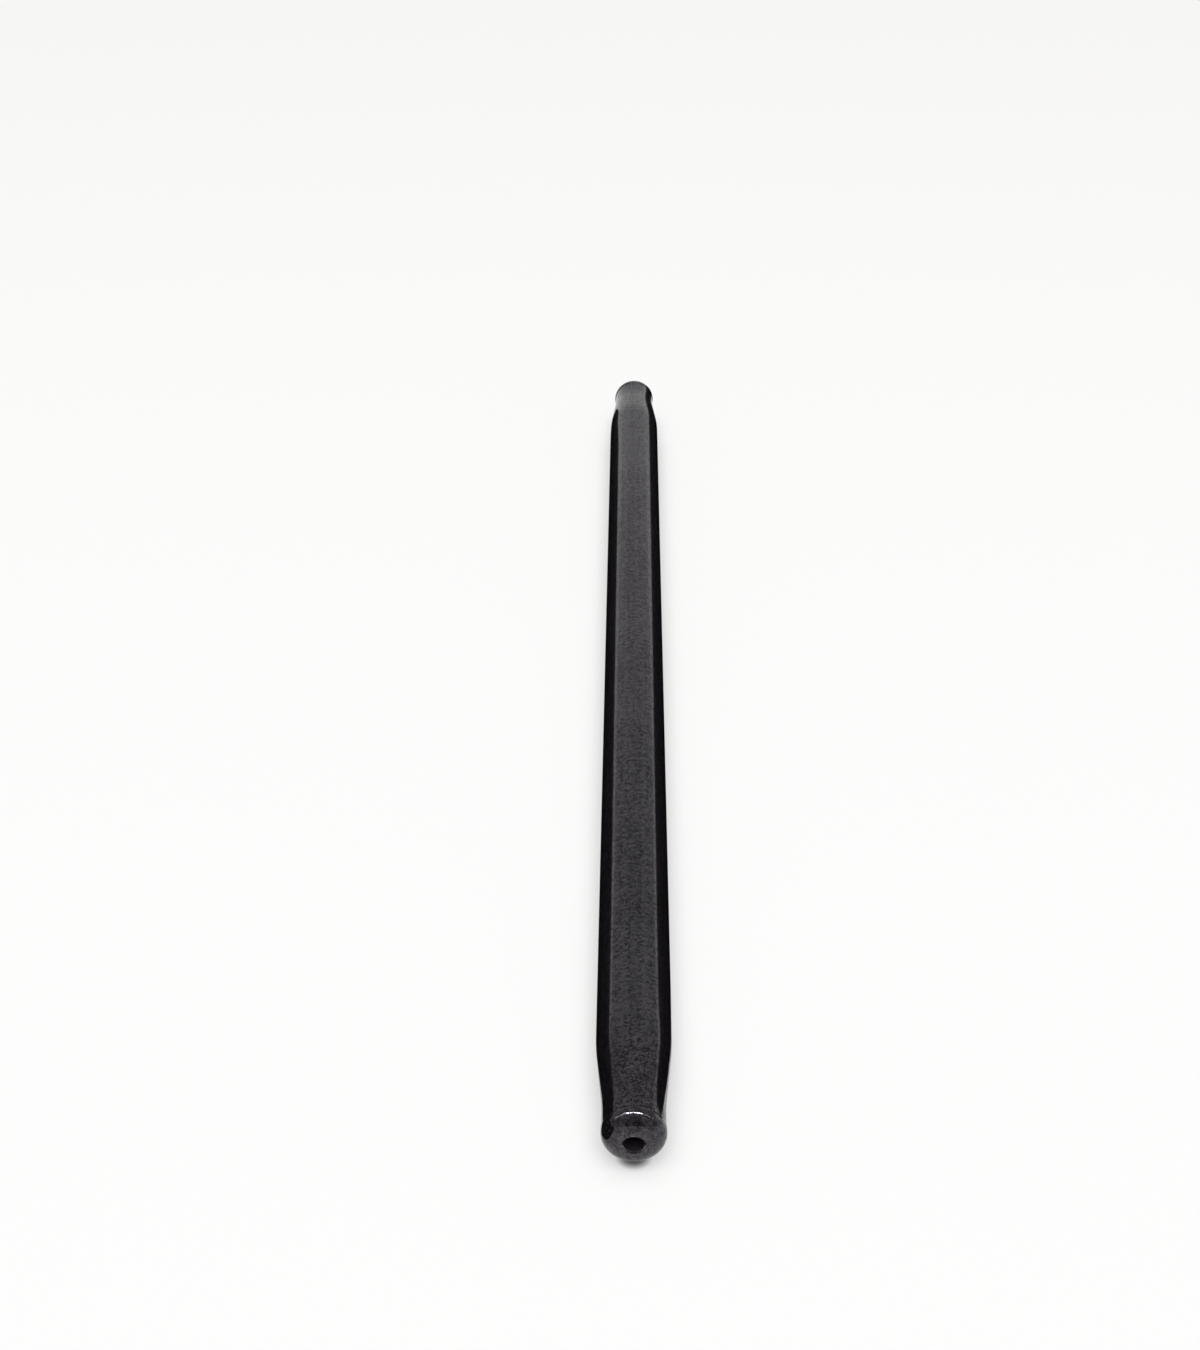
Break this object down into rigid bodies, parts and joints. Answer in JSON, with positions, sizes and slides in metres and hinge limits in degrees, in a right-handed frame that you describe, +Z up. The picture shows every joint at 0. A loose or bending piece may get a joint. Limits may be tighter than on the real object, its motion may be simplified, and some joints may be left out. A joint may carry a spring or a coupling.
{
  "type": "engine pushrod",
  "caption": "Straight hollow steel pushrod: a round tube swaged down at each end to a ball with a small flat and a drilled oil hole, in a satin black oxide finish.",
  "frame": {"origin": "middle of the ball at the near end, where the lifter's cup holds the rod", "axes": "+Y along the rod from the near ball to the far one, +Z up with the rod lying level, +X to the right seen from the near end"},
  "size_m": [0.0096, 0.2032, 0.0096],
  "materials": {
    "black_oxide_steel": "satin black oxide over ground steel, oiled"
  },
  "bodies": {
    "root": {"pushrod": "black_oxide_steel"}
  },
  "joints": []
}
